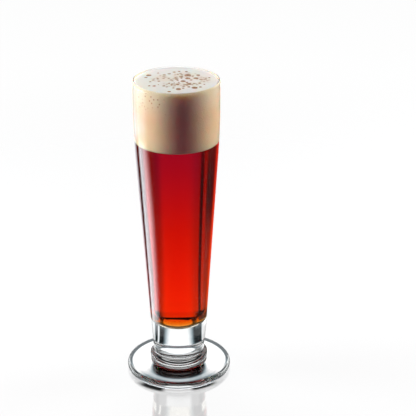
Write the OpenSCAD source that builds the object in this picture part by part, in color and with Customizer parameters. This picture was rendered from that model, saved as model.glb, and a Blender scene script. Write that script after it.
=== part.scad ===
// Footed pilsner glass, poured with a red ale under a deep head of foam.
// Foot, collar, stem and bowl are turned about the Z axis and fused end to end. The foot stands on z = 0.
// All sizes are in millimetres.

/* [Glass] */
// Height from the table to the rim
glass_height = 235; // [200:1:270]

/* [Foot] */
// Diameter of the foot
foot_diameter = 80; // [62:1:110]
// Thickness of the foot at its rounded edge
foot_edge = 6; // [3:0.5:10]
// Rise of the upper face from the rounded edge to the collar
foot_rise = 1.5; // [0.5:0.1:6]
// Width of the flat ring that the glass stands on
standing_ring = 6; // [2:0.5:12]
// Depth of the hollow pressed into the underside
hollow_depth = 1.5; // [0.5:0.1:3]

/* [Collar] */
// How far the collar's bead stands out from the stem
bead_projection = 2.6; // [1:0.1:6]
// Radius of the bead's round
bead_radius = 4.6; // [3:0.1:8]
// How much of the bead's round is flattened onto the foot
bead_flat = 0.8; // [0.2:0.1:2]
// Radius of the cove that leads from the bead up to the stem
cove_radius = 2.5; // [1:0.1:5]
// Height of the straight neck above the cove
neck_height = 1.2; // [0.4:0.1:6]

/* [Stem] */
// Height of the solid stem
stem_height = 16; // [6:0.5:40]
// Diameter of the stem where it stands on the collar
stem_diameter = 39.4; // [30:0.2:46]

/* [Bowl] */
// Diameter of the bowl where it stands on the stem
bowl_base_diameter = 42.4; // [34:0.2:50]
// Largest diameter of the bowl
bowl_diameter = 64; // [56:0.5:74]
// Distance from the rim down to the largest diameter
lip_drop = 13; // [6:0.5:30]
// Radius of the long curve that turns the straight side into the lip
lip_radius = 720; // [300:10:1000]
// Thickness of the wall along the lip
lip_wall = 2; // [1.2:0.1:3]
// Thickness of the wall beside the floor
base_wall = 3.6; // [2:0.1:6]
// Extra thickness of the fire-polished rim
rim_swell = 0.2; // [0.1:0.05:0.6]
// Thickness of the glass under the floor
floor_thickness = 6.8; // [2:0.1:12]
// Radius of the corner between the floor and the wall
floor_corner = 5; // [3:0.5:14]

/* [Drink] */
// Depth of the foam at the wall
foam_depth = 44.8; // [10:0.2:100]
// Distance from the top of the rim down to the edge of the foam
foam_drop = 0.8; // [0.4:0.1:40]
// Rise of the foam's top from its edge to the middle
foam_crown = 0.7; // [0.4:0.1:3]

/* [Hidden] */

$fn = 180;
// Facets of the wide arcs, whose visible stretch is only a few degrees
wide_arc_facets = 1440;
// A curve laid onto a straight passes it by this much, so that the two cross cleanly
lap = 0.002;

bead_lift = bead_radius - bead_flat;
cove_offset = bead_radius + cove_radius - bead_projection;
cove_rise = sqrt(pow(bead_radius + cove_radius, 2) - pow(cove_offset, 2));

hub_level = foot_edge + foot_rise;
collar_level = hub_level + bead_lift + cove_rise + neck_height;
bowl_level = collar_level + stem_height;
floor_level = bowl_level + floor_thickness;
widest_level = glass_height - lip_drop;
rim_width = lip_wall + rim_swell;
foam_level = glass_height - foam_drop;
beer_level = foam_level - foam_depth;

stem_radius = stem_diameter / 2;
bead_centre = [stem_radius + bead_projection - bead_radius, hub_level + bead_lift];
cove_centre = bead_centre + [cove_offset, cove_rise];
// The bead meets the foot on a circle of this radius, which is the foot's hub
hub_radius = bead_centre[0] + sqrt(pow(bead_radius, 2) - pow(bead_lift, 2));

inner_lip_radius = lip_radius - lip_wall;
lip_centre = [bowl_diameter / 2 - lip_radius, widest_level];
outer_base = [bowl_base_diameter / 2, bowl_level];
inner_base = [side_radius(outer_base, lip_radius, floor_level) - base_wall, floor_level];
rim_centre_level = glass_height - rim_width / 2;
rim_centre = [arc_radius(lip_radius - lip_wall / 2, rim_centre_level), rim_centre_level];

// Point where a line from p touches the lip circle of radius r
function tangent_point(p, r) =
    let (to_centre = lip_centre - p,
         reach = norm(to_centre),
         heading = atan2(to_centre[1], to_centre[0]) - asin(r / reach))
    p + sqrt(pow(reach, 2) - pow(r, 2)) * [cos(heading), sin(heading)];

// Radius of the straight side that rises from base, at height z
function side_radius(base, r, z) =
    let (touch = tangent_point(base, r - lap))
    base[0] + (touch[0] - base[0]) * (z - base[1]) / (touch[1] - base[1]);

// Radius of the lip circle of radius r, at height z
function arc_radius(r, z) = lip_centre[0] + sqrt(pow(r, 2) - pow(z - lip_centre[1], 2));

// Half section of a straight taper that runs out into the lip curve, filled to the axis
module tapered_side(base, r, top) {
    touch = tangent_point(base, r - lap);
    difference() {
        polygon([[0, base[1]], base, [side_radius(base, r, top), top], [0, top]]);
        difference() {
            translate([0, touch[1]]) square([bowl_diameter, top]);
            translate(lip_centre) circle(r, $fn = wide_arc_facets);
        }
    }
}

// Half section of the space inside the bowl, with a rounded corner round its flat floor
module cavity() {
    corner_level = floor_level + floor_corner;
    wall = [side_radius(inner_base, inner_lip_radius, corner_level), corner_level] - inner_base;
    outward = [wall[1], -wall[0]] / norm(wall);
    corner_centre = [inner_base[0] + wall[0] - floor_corner / outward[0], corner_level];
    corner_touch = corner_centre + floor_corner * outward;
    difference() {
        tapered_side(inner_base, inner_lip_radius, glass_height);
        difference() {
            translate([corner_centre[0], 0]) square([bowl_diameter, corner_touch[1]]);
            translate(corner_centre) circle(floor_corner + lap);
        }
    }
}

// Turns a half section into a piece of clear glass
module glass() {
    color([0.84, 0.91, 0.92, 0.4]) rotate_extrude() children();
}

// Round-edged disc with a slightly coned top, hollowed underneath to stand on a ring
module foot() {
    edge_radius = foot_edge / 2;
    edge_centre = foot_diameter / 2 - edge_radius;
    hollow_width = edge_centre - standing_ring;
    hollow_radius = (pow(hollow_width, 2) + pow(hollow_depth, 2)) / (2 * hollow_depth);
    glass() difference() {
        union() {
            polygon([
                [0, 0], [edge_centre, 0], [edge_centre, foot_edge], [hub_radius, hub_level], [0, hub_level]
            ]);
            translate([edge_centre, edge_radius]) circle(edge_radius);
        }
        translate([0, hollow_depth - hollow_radius]) circle(hollow_radius, $fn = wide_arc_facets);
    }
}

// Bead squeezed out where the stem meets the foot, with a cove above it
module collar() {
    glass() intersection() {
        translate([0, hub_level]) square([foot_diameter, collar_level - hub_level]);
        difference() {
            union() {
                square([stem_radius, collar_level]);
                square(bead_centre);
                translate(bead_centre) circle(bead_radius);
                polygon([bead_centre, cove_centre, [stem_radius, cove_centre[1]]]);
            }
            translate(cove_centre) circle(cove_radius + lap);
        }
    }
}

// Solid tapered block between the collar and the bowl
module stem() {
    glass() polygon([
        [0, collar_level], [stem_radius, collar_level], outer_base, [0, bowl_level]
    ]);
}

// Straight-sided tapering wall, thickest at the floor, drawn in at the lip and fire-polished at the rim
module bowl() {
    glass() {
        difference() {
            tapered_side(outer_base, lip_radius, rim_centre_level);
            cavity();
        }
        translate(rim_centre) circle(rim_width / 2);
    }
}

// Ale that fills the bowl up to the foam
module beer() {
    color([0.74, 0.03, 0.05, 0.9]) rotate_extrude() intersection() {
        cavity();
        square([bowl_diameter, beer_level]);
    }
}

// Foam that fills the rest of the bowl, slightly crowned on top
module foam_head() {
    foam_edge = arc_radius(inner_lip_radius, foam_level);
    crown_radius = (pow(foam_edge, 2) + pow(foam_crown, 2)) / (2 * foam_crown);
    color([0.93, 0.85, 0.74]) rotate_extrude() difference() {
        intersection() {
            cavity();
            translate([0, beer_level]) square([bowl_diameter, glass_height]);
            translate([0, foam_level + foam_crown - crown_radius]) circle(crown_radius, $fn = wide_arc_facets);
        }
        translate(rim_centre) circle(rim_width / 2);
    }
}

foam_head();
beer();
bowl();
stem();
collar();
foot();
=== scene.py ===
"""Footed pilsner glass, poured with a red ale under a deep head of foam.

Foot, collar, stem and bowl were fused while the glass was hot, so their seams don't show and one turned
piece of glass stands for all four. The ale and the foam reach a hair into its wall, as wet contact does.
"""

import math

import bpy
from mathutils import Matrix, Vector


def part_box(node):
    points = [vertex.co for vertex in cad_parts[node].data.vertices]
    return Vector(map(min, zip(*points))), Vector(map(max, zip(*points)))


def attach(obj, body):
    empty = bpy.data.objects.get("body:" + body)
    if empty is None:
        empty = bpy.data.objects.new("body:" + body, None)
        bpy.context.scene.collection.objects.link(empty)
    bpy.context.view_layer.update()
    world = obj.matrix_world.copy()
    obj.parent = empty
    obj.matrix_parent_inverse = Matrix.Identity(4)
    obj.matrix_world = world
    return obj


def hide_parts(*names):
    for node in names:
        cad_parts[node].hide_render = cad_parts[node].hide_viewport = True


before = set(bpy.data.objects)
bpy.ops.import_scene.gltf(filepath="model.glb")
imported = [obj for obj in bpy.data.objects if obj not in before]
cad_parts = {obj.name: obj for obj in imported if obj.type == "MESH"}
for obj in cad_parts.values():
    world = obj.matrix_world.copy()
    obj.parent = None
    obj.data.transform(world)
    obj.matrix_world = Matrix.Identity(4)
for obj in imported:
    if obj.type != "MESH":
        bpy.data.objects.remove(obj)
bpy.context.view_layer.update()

MM = 0.001
DEGREES = 180 / math.pi

# Heights and radii that the CAD model gives
foot_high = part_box("foot")[1]
hub_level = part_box("collar")[0].z
collar_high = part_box("collar")[1]
bowl_low, bowl_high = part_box("bowl")
stem_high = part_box("stem")[1]
beer_low, beer_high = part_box("beer")
foam_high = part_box("foam_head")[1]
foot_radius = foot_high.x
bead_reach = collar_high.x
neck_level = collar_high.z
base_radius = stem_high.x
base_level = bowl_low.z
rim_level = bowl_high.z
floor_level = beer_low.z
beer_level = beer_high.z
foam_level = foam_high.z

# Sizes that the CAD model's section has and its boxes don't show
FOOT_EDGE = 6 * MM
STANDING_RING = 6 * MM
HOLLOW_DEPTH = 1.5 * MM
BEAD_PROJECTION = 2.6 * MM
BEAD_RADIUS = 4.6 * MM
BEAD_LIFT = 3.8 * MM
COVE_RADIUS = 2.5 * MM
NECK_HEIGHT = 1.2 * MM
BOWL_RADIUS = 32 * MM
LIP_DROP = 13 * MM
LIP_RADIUS = 720 * MM
LIP_WALL = 2 * MM
BASE_WALL = 3.6 * MM
RIM_WIDTH = 2.2 * MM
FLOOR_CORNER = 5 * MM
FOAM_CROWN = 0.7 * MM

# How far the drink reaches into the wall, and the foam into the ale
WET_CONTACT = 0.12 * MM
FOAM_SOAK = 0.4 * MM
# The wall stops this far under the middle of the rim's round, which wraps past level by these degrees
RIM_LAP = 0.5 * MM
RIM_WRAP = 20

# Steps that draw each stretch of the half section, and steps that turn it
HOLLOW_STEPS = 12
RING_STEPS = 3
EDGE_STEPS = 16
FOOT_STEPS = 6
BEAD_STEPS = 16
COVE_STEPS = 10
STEM_STEPS = 4
WALL_STEPS = 16
LIP_STEPS = 20
RIM_STEPS = 18
CORNER_STEPS = 18
CROWN_STEPS = 24
TURN_STEPS = 240
# Rings on the flat faces, where triangles would be long: a radius, then shares of the edge's radius
FLOOR_RING = 4 * MM
ALE_TOP_RINGS = (0.85, 0.6, 0.3, 0.0)
FOAM_BASE_RING = 0.3
# Points nearer than this are merged, and folds sharper than this stay sharp
MERGE_REACH = 0.002 * MM
SHARP_FOLD = math.radians(40)

# Open bubbles on the foam: place and width in millimetres
BUBBLES = [
    (-20.3, 11.5, 4.4), (-22.2, 6.5, 2.7), (-13.7, 16.5, 2.0), (-9.1, 11.5, 2.9), (-5.5, 14.3, 2.9),
    (-2.0, 18.5, 2.7), (1.6, 20.4, 2.5), (8.1, 11.0, 5.7), (15.6, 11.5, 3.4), (8.2, 3.2, 4.3),
    (14.1, 4.0, 4.3), (3.4, 6.8, 3.4), (0.2, 1.5, 3.1), (-2.8, -2.5, 2.0), (4.9, -3.3, 4.3),
    (-16.8, -0.1, 2.1), (-12.5, -2.9, 2.3), (-18.7, -3.8, 2.0), (-19.1, -12.5, 2.1), (-15.5, -13.1, 2.9),
    (-12.5, -10.6, 1.3), (-8.6, -13.3, 2.5), (-6.5, -15.4, 2.0), (-5.0, -7.7, 2.0), (-3.1, -12.2, 1.5),
    (-1.4, -7.1, 1.3), (0.7, -9.8, 2.6), (-1.7, -17.7, 2.0), (1.9, -20.1, 4.3), (5.6, -13.8, 2.4),
    (9.1, -9.3, 4.3), (9.2, -15.4, 2.5), (13.3, -16.9, 4.9), (16.8, -6.9, 2.6), (20.1, -9.3, 1.6),
    (23.7, 6.1, 2.0), (-4.5, -25.1, 2.8), (6.9, 19.9, 2.5), (-0.8, 4.2, 2.4), (0.9, -1.6, 2.0),
    (-2.8, -9.4, 1.8), (1.9, -5.9, 1.8), (7.6, -5.7, 2.4), (10.6, -0.4, 2.2), (17.4, 1.6, 2.2),
    (6.6, -10.7, 1.8), (12.8, -8.3, 2.2), (5.2, -18.1, 2.2), (17.4, -15.1, 2.4), (-13.4, 3.0, 2.0),
    (11.6, 7.7, 1.8), (3.6, 3.1, 1.8),
]
# A bubble is a flattened ball, whose middle stands above the foam by this share of its radius
BUBBLE_LIFT = 0.25
BUBBLE_FLATNESS = 0.6
BUBBLE_SEGMENTS = 20
BUBBLE_RINGS = 12

WHITE = (1.0, 1.0, 1.0, 1.0)
BLACK = (0.0, 0.0, 0.0, 1.0)
# Half height of a shape that is the same at every level
ANY_HEIGHT = 1000.0
# How strongly each substance bends light
GLASS_INDEX = 1.52
ALE_INDEX = 1.335
FILM_INDEX = 1.33
# What glass and ale take out of light that crosses them, and how much of it their shadows let through
GLASS_TINT = (0.86, 0.95, 0.93, 1.0)
GLASS_SHADOW = (0.94, 0.95, 0.95, 1.0)
ALE_TINT = (0.988, 0.69, 0.0, 1.0)
ALE_SHADOW = (0.5, 0.2, 0.14, 1.0)
# Tones from one kind of patch to the other
ALE_HAZE = (1.0, 0.99, 0.97, 1.0), (0.97, 0.94, 0.9, 1.0)
WET_FOAM = (0.87, 0.64, 0.39, 1.0), (0.92, 0.74, 0.49, 1.0)
DRY_FOAM = (0.87, 0.75, 0.52, 1.0), (0.92, 0.83, 0.62, 1.0)
TOP_FOAM = (0.89, 0.86, 0.79, 1.0), (0.95, 0.94, 0.90, 1.0)
BUBBLE_FILM = (0.44, 0.22, 0.10, 1.0), (0.70, 0.47, 0.30, 1.0)
# Ale that shows through the foam: specks down its side, and clusters with darker spots on its top
SPECK_TONE = (0.5, 0.22, 0.06, 1.0)
CLUSTER_TONE = (0.86, 0.73, 0.58, 1.0)
SPOT_TONE = (0.42, 0.21, 0.09, 1.0)
# The oval that the clusters keep to: its middle and half widths
CLUSTERED = (3 * MM, 1 * MM), (24 * MM, 19 * MM)
# Depths under the foam's top between which it is top and side, and dry and wet
TOP_DEPTHS = 0.75 * MM, 1.3 * MM
DRY_DEPTHS = 3 * MM, 24 * MM
# How far red, green and blue light sink into the foam: shares of a depth, and that depth
WET_SINK = (1.0, 0.34, 0.24), 9 * MM
DRY_SINK = (1.0, 0.7, 0.55), 8 * MM

# Faces of the glass that look inwards, or up by more than this, are wet between the floor and the foam
LEAST_RISE = 0.1
# The floor's own faces count as well, and may lie this far under its level
FLOOR_MARGIN = 0.1 * MM


def arc(centre, radius, start, end, steps):
    """Points on a circle of the half section, from one angle in degrees to another."""
    angles = [math.radians(start + (end - start) * i / steps) for i in range(steps + 1)]
    return [(centre[0] + radius * math.cos(a), centre[1] + radius * math.sin(a)) for a in angles]


def straight(start, end, steps):
    """Points on a line of the half section."""
    return [
        (start[0] + (end[0] - start[0]) * i / steps, start[1] + (end[1] - start[1]) * i / steps)
        for i in range(steps + 1)
    ]


def swollen(section, by):
    """A section moved outwards by a small amount, square to its run."""
    moved = []
    for i, point in enumerate(section):
        before = section[max(i - 1, 0)]
        after = section[min(i + 1, len(section) - 1)]
        run = (after[0] - before[0], after[1] - before[1])
        length = math.hypot(*run)
        moved.append((point[0] + by * run[1] / length, point[1] - by * run[0] / length))
    return moved


lip_centre = (BOWL_RADIUS - LIP_RADIUS, rim_level - LIP_DROP)


def lip_touch(base, radius):
    """Where the straight side that rises from base runs into the lip circle, and the angle there."""
    across = (lip_centre[0] - base[0], lip_centre[1] - base[1])
    reach = math.hypot(*across)
    heading = math.atan2(across[1], across[0]) - math.asin(radius / reach)
    run = math.sqrt(reach**2 - radius**2)
    touch = (base[0] + run * math.cos(heading), base[1] + run * math.sin(heading))
    return touch, math.degrees(heading) - 90


def tapered_side(base, radius, top):
    """A straight side from base that runs out into the lip circle, up to a height."""
    touch, angle = lip_touch(base, radius)
    last = math.degrees(math.asin((top - lip_centre[1]) / radius))
    return straight(base, touch, WALL_STEPS)[:-1] + arc(lip_centre, radius, angle, last, LIP_STEPS)


def lip_reach(radius, height):
    """Radius of the lip circle at a height."""
    return lip_centre[0] + math.sqrt(radius**2 - (height - lip_centre[1]) ** 2)


def crown_radius(edge):
    """Radius of the ball that the foam's top is a cap of, where its edge is this far from the axis."""
    return (edge**2 + FOAM_CROWN**2) / (2 * FOAM_CROWN)


outer_base = (base_radius, base_level)
outer_touch = lip_touch(outer_base, LIP_RADIUS)[0]
floor_share = (floor_level - base_level) / (outer_touch[1] - base_level)
inner_lip = LIP_RADIUS - LIP_WALL
inner_base = (base_radius + (outer_touch[0] - base_radius) * floor_share - BASE_WALL, floor_level)
inner_touch, inner_angle = lip_touch(inner_base, inner_lip)
inner_slope = (inner_touch[0] - inner_base[0]) / (inner_touch[1] - inner_base[1])
corner_centre = (
    inner_base[0] + inner_slope * FLOOR_CORNER - FLOOR_CORNER * math.hypot(1, inner_slope),
    floor_level + FLOOR_CORNER,
)


def cavity(top):
    """The inside of the bowl from the middle of its floor to a height on the wall's lip."""
    corner = arc(corner_centre, FLOOR_CORNER, -90, inner_angle, CORNER_STEPS)
    floor = [(0.0, floor_level)] + straight((FLOOR_RING, floor_level), corner[0], RING_STEPS)
    return floor[:-1] + corner[:-1] + tapered_side(corner[-1], inner_lip, top)


def turned(name, section):
    """Draws a half section point by point and spins it once round the axis."""
    bpy.ops.object.select_all(action="DESELECT")
    bpy.ops.mesh.primitive_plane_add(size=MM, location=(0, 0, 0))
    piece = bpy.context.object
    piece.name = name
    bpy.ops.object.mode_set(mode="EDIT")
    bpy.ops.mesh.select_mode(type="VERT")
    bpy.ops.mesh.merge(type="CENTER")
    bpy.ops.transform.translate(value=(section[0][0], 0, section[0][1]))
    for here, there in zip(section, section[1:]):
        step = (there[0] - here[0], 0, there[1] - here[1])
        bpy.ops.mesh.extrude_region_move(TRANSFORM_OT_translate={"value": step})
    bpy.ops.mesh.select_all(action="SELECT")
    bpy.ops.mesh.spin(steps=TURN_STEPS, angle=2 * math.pi, center=(0, 0, 0), axis=(0, 0, 1))
    bpy.ops.mesh.select_all(action="SELECT")
    bpy.ops.mesh.remove_doubles(threshold=MERGE_REACH)
    bpy.ops.mesh.normals_make_consistent(inside=False)
    bpy.ops.object.mode_set(mode="OBJECT")
    bpy.ops.object.shade_smooth()
    return piece


def glass_section():
    """The whole glass, from the middle of its underside, round the rim and down to its inner floor."""
    edge_radius = FOOT_EDGE / 2
    edge_centre = (foot_radius - edge_radius, edge_radius)
    hollow_width = edge_centre[0] - STANDING_RING
    hollow_radius = (hollow_width**2 + HOLLOW_DEPTH**2) / (2 * HOLLOW_DEPTH)
    hollow_angle = math.degrees(math.asin(hollow_width / hollow_radius))
    hollow_centre = (0, HOLLOW_DEPTH - hollow_radius)
    hollow = arc(hollow_centre, hollow_radius, 90, 90 - hollow_angle, HOLLOW_STEPS)

    stem_radius = bead_reach - BEAD_PROJECTION
    bead_centre = (bead_reach - BEAD_RADIUS, hub_level + BEAD_LIFT)
    cove_centre = (stem_radius + COVE_RADIUS, neck_level - NECK_HEIGHT)
    turn = math.degrees(math.atan2(cove_centre[1] - bead_centre[1], cove_centre[0] - bead_centre[0]))
    bead_start = -math.degrees(math.asin(BEAD_LIFT / BEAD_RADIUS))
    bead = arc(bead_centre, BEAD_RADIUS, bead_start, turn, BEAD_STEPS)
    cove = arc(cove_centre, COVE_RADIUS, 180 + turn, 180, COVE_STEPS)
    foot_top = straight((edge_centre[0], FOOT_EDGE), bead[0], FOOT_STEPS)

    rim_radius = RIM_WIDTH / 2
    rim_height = rim_level - rim_radius
    rim_centre = (lip_reach(LIP_RADIUS - LIP_WALL / 2, rim_height), rim_height)
    rim = arc(rim_centre, rim_radius, -RIM_WRAP, 180 + RIM_WRAP, RIM_STEPS)
    outside = tapered_side(outer_base, LIP_RADIUS, rim_height - RIM_LAP)
    inside = cavity(rim_height - RIM_LAP)[::-1]

    section = hollow + straight((hollow_width, 0), (edge_centre[0], 0), RING_STEPS)[1:]
    section += arc(edge_centre, edge_radius, -90, 90, EDGE_STEPS)[1:] + foot_top[1:-1]
    section += bead + cove[1:] + [(stem_radius, neck_level)]
    section += straight((stem_radius, neck_level), outer_base, STEM_STEPS)[1:-1]
    return section + outside + rim + inside


def beer_section():
    """The ale, a hair larger than the bowl's inside, with a level top."""
    skin = swollen(cavity(beer_level), WET_CONTACT)
    skin[0] = (0.0, skin[0][1])
    edge = skin[-1]
    return skin + [(edge[0] * share, beer_level) for share in ALE_TOP_RINGS]


def foam_section():
    """The foam, from the middle of its underside up the wall and over its crowned top."""
    low = beer_level - FOAM_SOAK
    high = foam_level - FOAM_CROWN
    levels = [low + (high - low) * i / WALL_STEPS for i in range(WALL_STEPS + 1)]
    wall = [(lip_reach(inner_lip, level) + WET_CONTACT, level) for level in levels]
    edge = wall[-1][0]
    radius = crown_radius(edge)
    crown_angle = math.degrees(math.asin(edge / radius))
    crown = arc((0, foam_level - radius), radius, 90 - crown_angle, 90, CROWN_STEPS)
    crown[-1] = (0.0, foam_level)
    base = [(0.0, low)] + straight((FOAM_BASE_RING * wall[0][0], low), wall[0], RING_STEPS)
    return base[:-1] + wall + crown[1:]


class Wire:
    """A node's output that plain sums can use: each sum adds a Math node."""

    def __init__(self, nodes, socket):
        self.nodes = nodes
        self.socket = socket

    def sum_of(self, operation, first, second):
        """Adds the Math node of one sum."""
        return self.nodes.add("Math", {"operation": operation}, {0: first, 1: second})

    def __add__(self, other):
        return self.sum_of("ADD", self, other)

    __radd__ = __add__

    def __sub__(self, other):
        return self.sum_of("SUBTRACT", self, other)

    def __rsub__(self, other):
        return self.sum_of("SUBTRACT", other, self)

    def __mul__(self, other):
        return self.sum_of("MULTIPLY", self, other)

    __rmul__ = __mul__

    def __truediv__(self, other):
        return self.sum_of("DIVIDE", self, other)

    def __rtruediv__(self, other):
        return self.sum_of("DIVIDE", other, self)


class Nodes:
    """A node tree that is filled one node at a time."""

    def __init__(self, tree):
        self.tree = tree
        tree.nodes.clear()

    def add(self, kind, settings=None, sockets=None, output=0):
        """Adds a node by its type, its settings, and the values or links of its sockets."""
        node = self.tree.nodes.new("ShaderNode" + kind)
        for name, value in (settings or {}).items():
            setattr(node, name, value)
        for name, value in (sockets or {}).items():
            if isinstance(value, Wire):
                self.tree.links.new(value.socket, node.inputs[name])
            else:
                node.inputs[name].default_value = value
        return Wire(self, node.outputs[output]) if node.outputs else None

    def absolute(self, value):
        """A value without its sign."""
        return self.add("Math", {"operation": "ABSOLUTE"}, {0: value})

    def ease(self, value, low, high):
        """0 below low, 1 above high, and a soft step between them."""
        return self.add(
            "MapRange", {"interpolation_type": "SMOOTHSTEP"},
            {"Value": value, "From Min": low, "From Max": high, "To Min": 0.0, "To Max": 1.0},
        )

    def fade(self, value, low, high):
        """1 below low, 0 above high, and a soft step between them."""
        return 1.0 - self.ease(value, low, high)

    def band(self, value, rise_start, rise_end, fall_start, fall_end):
        """1 between two soft steps, and 0 outside them."""
        return self.ease(value, rise_start, rise_end) * self.fade(value, fall_start, fall_end)

    def flagged(self, bearing, *flags):
        """How dark the painted shade of a row of flags is at a bearing, each given by its depth and its
        band of degrees.
        """
        return sum(depth * self.band(bearing, *edges) for depth, *edges in flags)

    def bearing(self, across, along):
        """Degrees round the axis: 0 straight back, rising to the left."""
        return DEGREES * self.add("Math", {"operation": "ARCTAN2"}, {0: 0.0 - across, 1: along})

    def noise(self, point, scale, detail):
        """Soft patches, this many to the metre."""
        return self.add("TexNoise", None, {"Vector": point, "Scale": scale, "Detail": detail})

    def cells(self, point, scale):
        """Distance from the middle of packed cells, this many to the metre."""
        return self.add("TexVoronoi", None, {"Vector": point, "Scale": scale})

    def blend(self, share, first, second):
        """One colour turning into another."""
        return self.add("Mix", {"data_type": "RGBA"}, {0: share, 6: first, 7: second}, 2)

    def scaled(self, colour, share):
        """A colour made darker or brighter."""
        return self.add("VectorMath", {"operation": "SCALE"}, {0: colour, "Scale": share})

    def joined(self, first, second):
        """The light of two colours together."""
        return self.add("VectorMath", {"operation": "ADD"}, {0: first, 1: second})

    def glow(self, colour):
        """A surface that shows a colour as it is, whatever light falls on it."""
        return self.add("Emission", None, {"Color": colour, "Strength": 1.0})

    def mixed(self, share, first, second):
        """One surface turning into another."""
        return self.add("MixShader", None, {0: share, 1: first, 2: second})

    def oval(self, point, centre, size):
        """Level distance from a centre: 1 on the edge of an oval of those half widths, at any height."""
        offset = self.add("VectorMath", {"operation": "SUBTRACT"}, {0: point, 1: (*centre, 0.0)})
        scaled = self.add("VectorMath", {"operation": "DIVIDE"}, {0: offset, 1: (*size, ANY_HEIGHT)})
        return self.add("VectorMath", {"operation": "LENGTH"}, {0: scaled}, "Value")

    def place(self):
        """The point on the piece, and its three measures."""
        point = self.add("TexCoord", output="Object")
        parts = [self.add("SeparateXYZ", None, {0: point}, axis) for axis in "XYZ"]
        return point, *parts

    def ray(self, kind):
        """1 for rays of one kind, and 0 for the rest."""
        return self.add("LightPath", output=f"Is {kind} Ray")


def blank_finish(name):
    """A new material with an empty node tree."""
    material = bpy.data.materials.new(name)
    material.use_nodes = True
    return material, Nodes(material.node_tree)


def glass_finish(name, gloss):
    """Clear soda glass with faint smears and the slow ripple of a drawn wall.

    Where it is wet it has no gloss.
    """
    material, nodes = blank_finish(name)
    point = nodes.place()[0]
    smears = nodes.noise(point, scale=45.0, detail=3.0)
    ripple = nodes.noise(point, scale=60.0, detail=0.0)
    bump = nodes.add("Bump", None, {"Strength": 0.006, "Distance": 0.2 * MM, "Height": ripple})
    clear = nodes.add("BsdfPrincipled", None, {
        "Base Color": WHITE,
        "Roughness": 0.006 * nodes.ease(smears, 0.55, 0.8),
        "IOR": GLASS_INDEX,
        "Specular Tint": (gloss, gloss, gloss, 1.0),
        "Transmission Weight": 1.0,
        "Normal": bump,
    })
    lit_through = nodes.add("BsdfTransparent", None, {"Color": GLASS_SHADOW})
    passes = nodes.add("Math", {"operation": "MAXIMUM"}, {0: nodes.ray("Shadow"), 1: nodes.ray("Diffuse")})
    surface = nodes.mixed(passes, clear, lit_through)
    tint = nodes.add("VolumeAbsorption", None, {"Color": GLASS_TINT, "Density": 4.0})
    nodes.add("OutputMaterial", None, {"Surface": surface, "Volume": tint})
    return material


def beer_finish():
    """Red ale: clear, and deeper in colour the more of it light crosses."""
    material, nodes = blank_finish("red_ale")
    haze = nodes.noise(nodes.place()[0], scale=35.0, detail=2.0)
    clear = nodes.add("BsdfPrincipled", None, {
        "Base Color": nodes.blend(haze, *ALE_HAZE),
        "Roughness": 0.0,
        "IOR": ALE_INDEX,
        "Specular Tint": BLACK,
        "Transmission Weight": 1.0,
    })
    lit_through = nodes.add("BsdfTransparent", None, {"Color": ALE_SHADOW})
    surface = nodes.mixed(nodes.ray("Shadow"), clear, lit_through)
    tint = nodes.add("VolumeAbsorption", None, {"Color": ALE_TINT, "Density": 340.0})
    nodes.add("OutputMaterial", None, {"Surface": surface, "Volume": tint})
    return material


def foam_finish():
    """Cream foam of packed fine bubbles: tan down its wet side and nearly white on its dry top.

    Ale shows through the top in tan clusters. Light sinks into the foam, redder the deeper it goes.
    """
    material, nodes = blank_finish("cream_foam")
    point, _, _, height = nodes.place()
    patches = nodes.noise(point, scale=140.0, detail=4.0)
    grain = 0.6 * nodes.cells(point, scale=1500.0) + 0.4 * nodes.cells(point, scale=560.0)
    bump = nodes.add("Bump", None, {"Strength": 0.5, "Distance": 0.3 * MM, "Height": grain})
    cells = nodes.cells(point, scale=340.0)
    clusters = nodes.noise(point, scale=60.0, detail=1.0)
    middle = nodes.fade(nodes.oval(point, *CLUSTERED), 0.7, 1.0)
    veil = middle * nodes.ease(clusters, 0.35, 0.6)
    spots = nodes.fade(cells, 0.2, 0.5) * nodes.ease(clusters, 0.42, 0.56) * middle
    specks = nodes.fade(cells, 0.12, 0.26) * nodes.ease(clusters, 0.5, 0.6)
    dry = nodes.fade(foam_level - height, *DRY_DEPTHS)
    on_top = nodes.fade(foam_level - height, *TOP_DEPTHS)
    wet_tone = nodes.blend(patches, *WET_FOAM)
    dry_tone = nodes.blend(0.75 * specks, nodes.blend(patches, *DRY_FOAM), SPECK_TONE)
    top_tone = nodes.blend(0.5 * veil, nodes.blend(patches, *TOP_FOAM), CLUSTER_TONE)
    top_tone = nodes.blend(0.9 * spots, top_tone, SPOT_TONE)
    dry_tone = nodes.blend(on_top, dry_tone, top_tone)
    wet_froth, dry_froth = [
        nodes.add("BsdfPrincipled", None, {
            "Base Color": tone,
            "Roughness": 0.55 + 0.2 * patches,
            "IOR": FILM_INDEX,
            "Subsurface Weight": 1.0,
            "Subsurface Radius": shares,
            "Subsurface Scale": depth,
            "Normal": bump,
        })
        for tone, (shares, depth) in ((wet_tone, WET_SINK), (dry_tone, DRY_SINK))
    ]
    nodes.add("OutputMaterial", None, {"Surface": nodes.mixed(dry, wet_froth, dry_froth)})
    return material


def bubble_finish():
    """The brown film of ale that lines an open bubble."""
    material, nodes = blank_finish("bubble_film")
    patches = nodes.noise(nodes.place()[0], scale=420.0, detail=2.0)
    film = nodes.add("BsdfPrincipled", None, {
        "Base Color": nodes.blend(patches, *BUBBLE_FILM),
        "Roughness": 0.15 + 0.2 * patches,
        "IOR": FILM_INDEX,
    })
    nodes.add("OutputMaterial", None, {"Surface": film})
    return material


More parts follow.
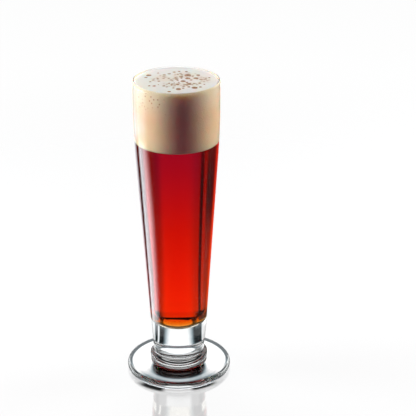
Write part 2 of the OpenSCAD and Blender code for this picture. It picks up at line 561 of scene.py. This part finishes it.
def open_bubbles(foam, film):
    """Cuts the open bubbles out of the foam's top, and leaves each lined with its film."""
    dome = crown_radius(lip_reach(inner_lip, foam_level - FOAM_CROWN))
    bpy.ops.object.select_all(action="DESELECT")
    balls = []
    for across, along, width in BUBBLES:
        radius = 0.5 * width * MM
        spot = (across * MM, along * MM)
        top = foam_level - (spot[0] ** 2 + spot[1] ** 2) / (2 * dome)
        bpy.ops.mesh.primitive_uv_sphere_add(
            segments=BUBBLE_SEGMENTS, ring_count=BUBBLE_RINGS,
            radius=radius, location=(*spot, top + BUBBLE_LIFT * radius),
        )
        bpy.ops.transform.resize(value=(1, 1, BUBBLE_FLATNESS))
        balls.append(bpy.context.object)
    bpy.ops.object.select_all(action="DESELECT")
    for ball in balls:
        ball.select_set(True)
    bpy.context.view_layer.objects.active = balls[0]
    bpy.ops.object.join()
    bpy.ops.object.transform_apply(location=True, rotation=True, scale=True)
    cutter = bpy.context.object
    cutter.data.materials.append(film)
    bpy.ops.object.shade_smooth()
    bpy.ops.object.select_all(action="DESELECT")
    foam.select_set(True)
    bpy.context.view_layer.objects.active = foam
    cut = foam.modifiers.new("bubbles", "BOOLEAN")
    cut.object = cutter
    cut.operation = "DIFFERENCE"
    cut.solver = "EXACT"
    cut.use_self = True
    cut.material_mode = "TRANSFER"
    bpy.ops.object.modifier_apply(modifier=cut.name)
    bpy.data.objects.remove(cutter)


def wetted(face):
    """Whether a face of the glass bounds the ale."""
    inwards = face.normal.x * face.center.x + face.normal.y * face.center.y < 0
    beside_ale = floor_level - FLOOR_MARGIN < face.center.z < beer_level
    return beside_ale and (inwards or face.normal.z > LEAST_RISE)


glass = turned("glass", glass_section())
glass.data.materials.append(glass_finish("clear_glass", gloss=1.0))
glass.data.materials.append(glass_finish("wet_glass", gloss=0.0))
for face in glass.data.polygons:
    face.material_index = int(wetted(face))
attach(glass, "root")
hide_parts("bowl", "stem", "collar", "foot")

ale = turned("ale", beer_section())
ale.data.materials.append(beer_finish())
bpy.ops.object.shade_smooth_by_angle(angle=SHARP_FOLD)
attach(ale, "root")
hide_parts("beer")

foam = turned("foam", foam_section())
foam.data.materials.append(foam_finish())
open_bubbles(foam, bubble_finish())
bpy.ops.object.shade_smooth_by_angle(angle=SHARP_FOLD)
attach(foam, "root")
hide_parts("foam_head")

# The set, in metres from the axis of the glass and in degrees round it
TABLE_SIZE = 8
# The table lies this far under the foot, so that the two don't share a face
TABLE_DROP = 0.05 * MM
TABLE_POLISH = 0.35
TABLE_TONE = (0.86, 0.86, 0.87, 1.0)
# The darker tone that the table throws back onto the foam, a painted dim red as if the ale's light lay on
# the table
TABLE_BOUNCE = (0.25, 0.09, 0.11, 1.0)
# Tone of the painted contact shadow on the table round the front of the foot
CONTACT_SHADOW_TONE = (0.02, 0.02, 0.02, 1.0)
DARK_ROOM = (0.02, 0.02, 0.02, 1.0)
# Brightness of the painted light and painted reflections on the parts of the set that the glass shows,
# where 1 is white
TABLE_LIGHT = 1.3
LEFT_GLOW = 1.8
BACK_LIGHT = 1.2
STRIP_LIGHT = 5.6
FRONT_LIGHT = 3.2
ROOM_LIGHT = 0.03
# The table's light has halved where the distance squared is this
LIGHT_FALL = 0.27
# Tones of that painted light: shade in the stem, the plain mirrored table, its front far out, and its left
# far out
STEM_SHADE = (0.7, 0.97, 1.1, 1.0)
MIRRORED_TONE = (0.95, 1.0, 1.06)
DUSK_TONE = (0.0, 0.01, 0.24)
COOL_TONE = (0.2, 1.0, 2.0)
# Painted shade of flags that would keep light off the table: depth, and the degrees over which each fades
# in and out
LEFT_FLAG_SHADES = (0.35, 8, 16, 36, 48), (0.6, 17.5, 19.5, 21.5, 23.5)
LEFT_CLOSE_FLAG_SHADE = (0.3, 25, 28.5, 33, 46)
LEFT_FAR_FLAG_SHADE = (0.58, 25, 28.5, 42, 50)
RIGHT_FLAG_SHADE = (0.5, 7, 14, 18, 25)
RIGHT_EDGE_FLAG_SHADE = (0.95, 26, 32, 48, 66)
LEFT_STEM_FLAG_SHADE = (0.985, 9, 21, 36, 41)
RIGHT_STEM_FLAG_SHADES = (0.99, 6, 18, 23.5, 26), (0.99, 28, 30, 36, 41)
# The oval of painted shadow under the stem, and a pale one at the foot's back where no painted shade falls:
# middle and half widths
STEM_SHADOW = (0.0, -10 * MM), (20.8 * MM, 18 * MM)
FOOT_SPOT = (0.0, 38.5 * MM), (7.8 * MM, 6.8 * MM)


def painted_table_through(nodes, point, reach, left):
    """Painted light and shade on the table, as rays that come through the glass see it.

    It is pale beyond the glass, with painted shade in wedges where flags would keep the light off, a
    painted shadow under the stem, and a painted contact shadow round the foot's edge.
    """
    right = 0.0 - left
    side = nodes.absolute(left)
    far = nodes.ease(reach, 0.26, 0.4)
    near = nodes.fade(reach, 0.085, 0.11)
    drawn_in = 6.0 * nodes.fade(reach, 0.15, 0.4)
    falling_off = TABLE_LIGHT / (1.0 + reach * reach / LIGHT_FALL)
    # Painted shade in wedges, where flags would keep the light off the table
    flags = nodes.flagged(left, *LEFT_FLAG_SHADES) + nodes.flagged(right, RIGHT_FLAG_SHADE)
    flags = flags + (1.0 - far) * nodes.flagged(left, LEFT_CLOSE_FLAG_SHADE)
    flags = flags + far * nodes.flagged(left, LEFT_FAR_FLAG_SHADE)
    flags = flags + nodes.flagged(right + drawn_in, RIGHT_EDGE_FLAG_SHADE)
    flags = flags * (1.0 - near) * (1.0 - 0.8 * nodes.ease(reach, 0.42, 0.8))
    stem_flag_shade = nodes.flagged(left, LEFT_STEM_FLAG_SHADE) + nodes.flagged(right, *RIGHT_STEM_FLAG_SHADES)
    # A painted pool of light on the table to the left
    glow = LEFT_GLOW * nodes.band(left, 42, 58, 100, 120) * (1.0 - near)
    off_foot = nodes.ease(reach, 0.045, 0.052)
    flags = flags + near * stem_flag_shade
    lit = falling_off * (1.0 - 0.2 * near * off_foot) * (1.0 - flags * off_foot) + glow
    # A painted shadow under the stem, and a pale spot at the foot's back where no painted shade falls
    stem_shadow = nodes.ease(nodes.oval(point, *STEM_SHADOW), 0.92, 1.1)
    off_spot = nodes.ease(nodes.oval(point, *FOOT_SPOT), 0.88, 1.1)
    on_foot = off_spot * nodes.fade(reach, 0.048, 0.051)
    # Painted shade in front of the stem, with a paler painted line across it
    shade_ahead = 0.86 - 0.3 * nodes.band(reach, 0.027, 0.029, 0.031, 0.033)
    shade_ahead = shade_ahead * nodes.ease(side, 108, 142) * nodes.fade(reach, 0.13, 0.16)
    # Painted shade at the foot's back, and a painted contact shadow round the foot's edge
    shade_behind = 0.9 * nodes.fade(side, 14, 26) * on_foot
    edge = 0.93 * nodes.ease(reach + MM * nodes.ease(side, 75, 115), 0.0358, 0.0372) * on_foot
    bright = lit * stem_shadow * (1.0 - shade_ahead) * (1.0 - shade_behind) * (1.0 - edge)
    shaded = near * nodes.fade(bright, 0.0, 1.0)
    return nodes.scaled(nodes.blend(shaded, WHITE, STEM_SHADE), bright)


def painted_table_mirrored(nodes, reach, left):
    """Painted reflections: the table's colour to rays that the glass mirrors, with the left softbox painted
    as a long bright strip.
    """
    right = 0.0 - left
    side = nodes.absolute(left)
    beyond = nodes.ease(reach, 0.46, 0.52)
    # Painted reflections of light from the back, of the left softbox as a long strip, of light at the front
    # near the foot, and blue tints far out
    back = BACK_LIGHT * nodes.fade(left + 18.0 * beyond, 36, 44) * nodes.fade(right, 14, 22)
    spread = 8.0 * nodes.fade(reach, 0.22, 0.42)
    strip = STRIP_LIGHT * nodes.ease(left, 52, 63) * nodes.fade(left - spread, 78, 104)
    strip = strip * nodes.ease(reach, 0.06, 0.1) * (1.0 - 0.85 * nodes.ease(reach, 0.43, 0.5))
    front = FRONT_LIGHT * nodes.ease(side, 118, 142) * nodes.fade(reach, 0.065, 0.09)
    dusk = nodes.ease(reach, 0.2, 0.4) * nodes.ease(side, 100, 130)
    cool = beyond * nodes.band(left, 22, 40, 85, 105) * (1.0 - 0.5 * nodes.ease(reach, 0.55, 0.65))
    plain = nodes.scaled(MIRRORED_TONE, ROOM_LIGHT + back + strip + front)
    tinted = nodes.joined(nodes.scaled(DUSK_TONE, dusk), nodes.scaled(COOL_TONE, cool))
    return nodes.joined(plain, tinted)


def table_finish():
    """A pale, glossy table, bright to the camera with a painted contact shadow round the foot's front, and
    as above to rays that the glass bends or mirrors.
    """
    material, nodes = blank_finish("pale_table")
    point, across, along, _ = nodes.place()
    reach = nodes.add("VectorMath", {"operation": "LENGTH"}, {0: point}, "Value")
    left = nodes.bearing(across, along)
    seen = nodes.ray("Camera")
    bent = nodes.ray("Transmission")
    mirrored = nodes.ray("Glossy") * (1.0 - bent)
    scattered = nodes.ray("Diffuse") * (1.0 - bent)
    # To diffuse rays from the foam the table shows that painted dim red
    lit = nodes.add("BsdfDiffuse", None, {"Color": nodes.blend(scattered, TABLE_TONE, TABLE_BOUNCE)})
    polish = nodes.add("BsdfGlossy", None, {"Color": WHITE, "Roughness": 0.02})
    shade = nodes.add("BsdfDiffuse", None, {"Color": CONTACT_SHADOW_TONE})
    paled = seen * (0.7 + 0.25 * nodes.ease(reach, 0.3, 0.8))
    # A painted contact shadow on the table at the foot's front edge, seen by the camera only
    drawn_in = 1.8 * MM * nodes.fade(left, -130, -100)
    contact = nodes.band(reach + drawn_in, 0.0365, 0.0375, 0.0412, 0.0444)
    contact = contact * nodes.band(nodes.absolute(left), 128, 142, 160, 168)
    surface = nodes.mixed(1.0 - paled, nodes.glow(WHITE), lit)
    surface = nodes.mixed(TABLE_POLISH * seen, surface, polish)
    surface = nodes.mixed(contact * seen, surface, shade)
    surface = nodes.mixed(mirrored, surface, nodes.glow(painted_table_mirrored(nodes, reach, left)))
    surface = nodes.mixed(bent, surface, nodes.glow(painted_table_through(nodes, point, reach, left)))
    nodes.add("OutputMaterial", None, {"Surface": surface})
    return material


bpy.ops.object.select_all(action="DESELECT")
bpy.ops.mesh.primitive_plane_add(size=TABLE_SIZE, location=(0, 0, -TABLE_DROP))
table = bpy.context.object
table.name = "table"
table.data.materials.append(table_finish())


def studio():
    """A world that is white to the camera, and to the glass a dark room with a few soft shapes of light."""
    world = bpy.data.worlds.new("studio")
    world.use_nodes = True
    sky = Nodes(world.node_tree)
    heading = sky.add("TexCoord", output="Generated")
    east, north, rise = [sky.add("SeparateXYZ", None, {0: heading}, axis) for axis in "XYZ"]
    height = DEGREES * sky.add("Math", {"operation": "ARCSINE"}, {0: rise})
    side = sky.absolute(sky.bearing(east, north))
    backdrop = sky.fade(height, 2, 6) * (1.0 - 0.9 * sky.ease(side, 30, 45))
    softboxes = 0.55 * sky.band(side, 42, 49, 78, 95) * sky.fade(height, 26, 38)
    overhead = 0.95 * sky.band(height, 32, 40, 51, 55) + 0.4 * sky.band(height, 55, 57, 60, 63)
    overhead = overhead * (1.0 - 0.75 * sky.ease(side, 20, 30)) * sky.fade(side, 45, 60)
    mirrored = 1.02 - sky.ease(side, 50, 70) * (1.0 - 0.9 * sky.band(height, 4, 8, 20, 26))
    tone = sky.blend(sky.ray("Glossy"), DARK_ROOM, mirrored)
    tone = sky.blend(sky.ray("Transmission"), tone, 0.005 + backdrop + softboxes + overhead)
    tone = sky.blend(sky.ray("Camera"), tone, WHITE)
    background = sky.add("Background", None, {"Color": tone, "Strength": 1.0})
    sky.add("OutputWorld", None, {"Surface": background})
    return world


scene = bpy.context.scene
scene.world = studio()
foam_middle = Vector((0, 0, (beer_level + rim_level) / 2))


def softbox(name, place, width, height, power):
    """A large soft lamp, turned to the foam, that glass doesn't mirror."""
    lamp = bpy.data.lights.new(name, "AREA")
    lamp.shape = "RECTANGLE"
    lamp.size = width
    lamp.size_y = height
    lamp.energy = power
    holder = bpy.data.objects.new(name, lamp)
    scene.collection.objects.link(holder)
    holder.location = place
    back = holder.location - foam_middle
    holder.rotation_euler = back.to_track_quat("Z", "Y").to_euler()
    holder.visible_camera = False
    holder.visible_glossy = False
    holder.visible_transmission = False


softbox("left_lamp", place=(-0.95, 0.02, 0.38), width=0.45, height=0.6, power=15)
softbox("right_lamp", place=(0.85, 0.3, 0.38), width=0.45, height=0.6, power=11)
softbox("top_lamp", place=(-0.05, 0.45, 1.1), width=0.6, height=0.5, power=4)

# The photo's viewing angle: the camera's place in metres, how far it looks down, and its lens in degrees
CAMERA_PLACE = (0.022776, -0.93682, 0.54484)
CAMERA_PITCH = 23.667
LENS_ANGLE = 17.3046

lens = bpy.data.cameras.new("photo_camera")
lens.sensor_fit = "HORIZONTAL"
lens.sensor_width = 36
lens.angle = math.radians(LENS_ANGLE)
lens.clip_start = 0.05
camera = bpy.data.objects.new("photo_camera", lens)
camera.location = CAMERA_PLACE
camera.rotation_euler = (math.radians(90 - CAMERA_PITCH), 0, 0)
scene.collection.objects.link(camera)
scene.camera = camera

scene.view_settings.view_transform = "Standard"
scene.cycles.max_bounces = 32
scene.cycles.transmission_bounces = 24
scene.cycles.glossy_bounces = 16
scene.cycles.transparent_max_bounces = 24

bpy.context.view_layer.update()
